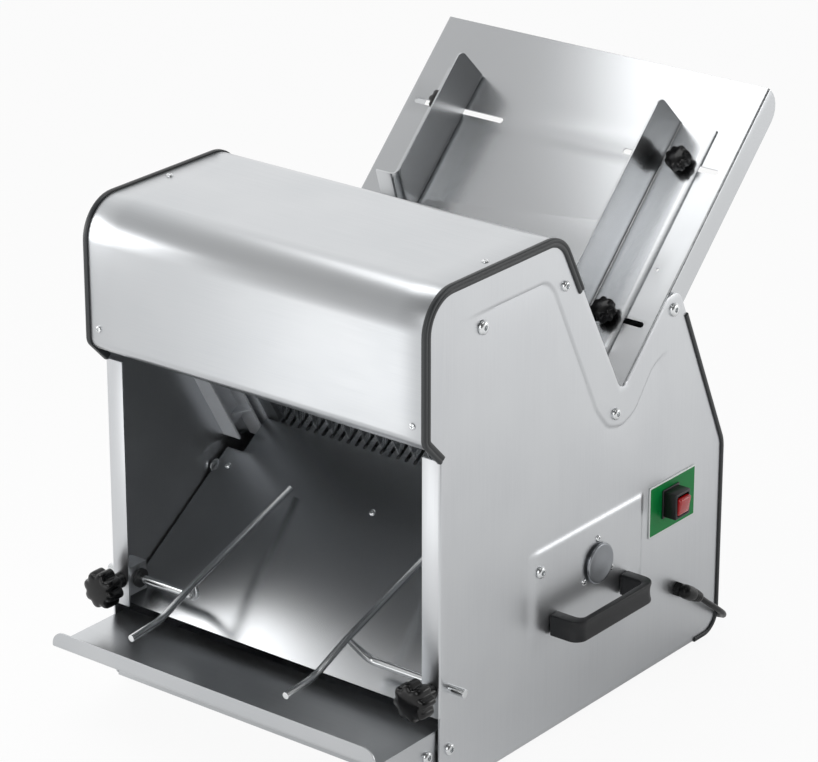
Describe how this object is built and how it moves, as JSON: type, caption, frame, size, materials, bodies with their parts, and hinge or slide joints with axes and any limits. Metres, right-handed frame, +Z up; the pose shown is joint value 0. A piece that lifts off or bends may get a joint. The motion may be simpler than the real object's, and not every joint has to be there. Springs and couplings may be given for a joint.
{
  "type": "bread slicer machine",
  "caption": "Table-top bread slicer: steel cabinet, sloping feed chute with sliding guides, two crank-driven blade frames, discharge plate, swinging catch rods and front tray.",
  "frame": {"origin": "Centre of the footprint of the bounding box at floor level, cord left out.", "axes": "+X to the right side as seen by a user at the front, -Y to the front, +Z up."},
  "size_m": [0.548, 0.7618, 0.6417],
  "materials": {
    "stainless_sheet": "satin",
    "rubber_edging": "matte",
    "bright_steel": "polished",
    "cast_aluminium": "satin",
    "blade_steel": "polished",
    "spun_steel": "spun",
    "handle_plastic": "satin",
    "knob_plastic": "gloss",
    "green_plate": "satin",
    "red_rocker": "gloss",
    "cord_rubber": "matte",
    "motor_paint": "satin",
    "dark_iron": "machined",
    "belt_rubber": "matte",
    "can_aluminium": "drawn",
    "bush_nylon": "matte"
  },
  "bodies": {
    "cabinet": {"left_side_panel": "stainless_sheet", "right_side_panel": "stainless_sheet", "left_edge_trim": "rubber_edging", "right_edge_trim": "rubber_edging", "head_cover": "stainless_sheet", "cover_screws": "bright_steel", "feed_chute": "stainless_sheet", "discharge_plate": "stainless_sheet", "discharge_screws": "bright_steel", "left_guide_rail": "cast_aluminium", "right_guide_rail": "cast_aluminium", "front_tray": "stainless_sheet", "tray_bolts": "bright_steel", "base_plate": "stainless_sheet", "rear_cover": "stainless_sheet", "rubber_feet": "rubber_edging", "left_handle": "handle_plastic", "right_handle": "handle_plastic", "bearing_caps": "spun_steel", "cap_screws": "bright_steel", "crank_bearings": "dark_iron", "tie_bars": "bright_steel", "panel_bolts": "bright_steel", "switch_plate": "green_plate", "switch_body": "knob_plastic", "cable_gland": "cord_rubber", "power_cord": "cord_rubber", "cord_coil": "cord_rubber", "cord_tie": "cord_rubber", "mains_plug": "cord_rubber", "motor": "motor_paint", "motor_bracket": "motor_paint", "capacitor": "can_aluminium", "drive_belt": "belt_rubber", "rod_holders": "cast_aluminium"},
    "front_frame": {"front_blade_frame": "cast_aluminium", "front_blades": "blade_steel"},
    "rear_frame": {"rear_blade_frame": "cast_aluminium", "rear_blades": "blade_steel"},
    "crank": {"crankshaft": "bright_steel", "crank_pulley": "dark_iron"},
    "motor_rotor": {"motor_shaft": "bright_steel", "motor_pulley": "dark_iron"},
    "left_guide": {"left_bread_guide": "stainless_sheet", "left_guide_nuts": "bright_steel"},
    "right_guide": {"right_bread_guide": "stainless_sheet", "right_guide_nuts": "bright_steel"},
    "upper_left_knob": {"upper_left_knob": "knob_plastic"},
    "lower_left_knob": {"lower_left_knob": "knob_plastic"},
    "upper_right_knob": {"upper_right_knob": "knob_plastic"},
    "lower_right_knob": {"lower_right_knob": "knob_plastic"},
    "left_bush": {"left_rod_bush": "bush_nylon"},
    "right_bush": {"right_rod_bush": "bush_nylon"},
    "left_rod": {"left_catch_rod": "bright_steel"},
    "right_rod": {"right_catch_rod": "bright_steel"},
    "left_clamp": {"left_rod_knob": "knob_plastic"},
    "right_clamp": {"right_rod_knob": "knob_plastic"},
    "rocker": {"switch_rocker": "red_rocker"}
  },
  "joints": [
    {"name": "crank_turn", "type": "hinge", "parent": "cabinet", "child": "crank", "pos_m": [0, 0.023, 0.181], "axis": [1, 0, 0], "range_deg": [-90, 90]},
    {"name": "front_frame_slide", "type": "slide", "parent": "cabinet", "child": "front_frame", "axis": [0, -0.5, 0.866], "range_m": [-0.0091, 0.0091]},
    {"name": "rear_frame_slide", "type": "slide", "parent": "cabinet", "child": "rear_frame", "axis": [0, -0.5, 0.866], "range_m": [-0.0091, 0.0091]},
    {"name": "motor_turn", "type": "hinge", "parent": "cabinet", "child": "motor_rotor", "pos_m": [-0.15, 0.14, 0.092], "axis": [1, 0, 0], "range_deg": [-227, 227]},
    {"name": "left_guide_slide", "type": "slide", "parent": "cabinet", "child": "left_guide", "axis": [-1, 0, 0], "range_m": [-0.065, 0.034]},
    {"name": "upper_left_knob_turn", "type": "hinge", "parent": "left_guide", "child": "upper_left_knob", "pos_m": [-0.167, 0.26748, 0.56108], "axis": [0, -0.7071, 0.7071], "continuous": true},
    {"name": "lower_left_knob_turn", "type": "hinge", "parent": "left_guide", "child": "lower_left_knob", "pos_m": [-0.167, 0.12889, 0.42249], "axis": [0, -0.7071, 0.7071], "continuous": true},
    {"name": "left_bush_swing", "type": "hinge", "parent": "cabinet", "child": "left_bush", "pos_m": [-0.218, -0.238, 0.13], "axis": [1, 0, 0], "range_deg": [-1.5, 8]},
    {"name": "left_rod_slide", "type": "slide", "parent": "left_bush", "child": "left_rod", "axis": [-1, 0, 0], "range_m": [-0.025, 0.07]},
    {"name": "left_clamp_turn", "type": "hinge", "parent": "cabinet", "child": "left_clamp", "pos_m": [-0.22, -0.277, 0.13], "axis": [0, -1, 0], "continuous": true},
    {"name": "right_guide_slide", "type": "slide", "parent": "cabinet", "child": "right_guide", "axis": [1, 0, 0], "range_m": [-0.065, 0.034]},
    {"name": "upper_right_knob_turn", "type": "hinge", "parent": "right_guide", "child": "upper_right_knob", "pos_m": [0.167, 0.26748, 0.56108], "axis": [0, -0.7071, 0.7071], "continuous": true},
    {"name": "lower_right_knob_turn", "type": "hinge", "parent": "right_guide", "child": "lower_right_knob", "pos_m": [0.167, 0.12889, 0.42249], "axis": [0, -0.7071, 0.7071], "continuous": true},
    {"name": "right_bush_swing", "type": "hinge", "parent": "cabinet", "child": "right_bush", "pos_m": [0.218, -0.238, 0.13], "axis": [1, 0, 0], "range_deg": [-1.5, 8]},
    {"name": "right_rod_slide", "type": "slide", "parent": "right_bush", "child": "right_rod", "axis": [1, 0, 0], "range_m": [-0.025, 0.07]},
    {"name": "right_clamp_turn", "type": "hinge", "parent": "cabinet", "child": "right_clamp", "pos_m": [0.22, -0.277, 0.13], "axis": [0, -1, 0], "continuous": true},
    {"name": "rocker_tilt", "type": "hinge", "parent": "cabinet", "child": "rocker", "pos_m": [0.2475, 0.162, 0.2065], "axis": [0, 1, 0], "range_deg": [-20, 0]}
  ],
  "couplings": [
    {"joint": "front_frame_slide", "follows": "crank_turn", "m_per_rad": 0.0057296},
    {"joint": "rear_frame_slide", "follows": "crank_turn", "m_per_rad": -0.0057296},
    {"joint": "motor_turn", "follows": "crank_turn", "ratio": 2.51}
  ]
}
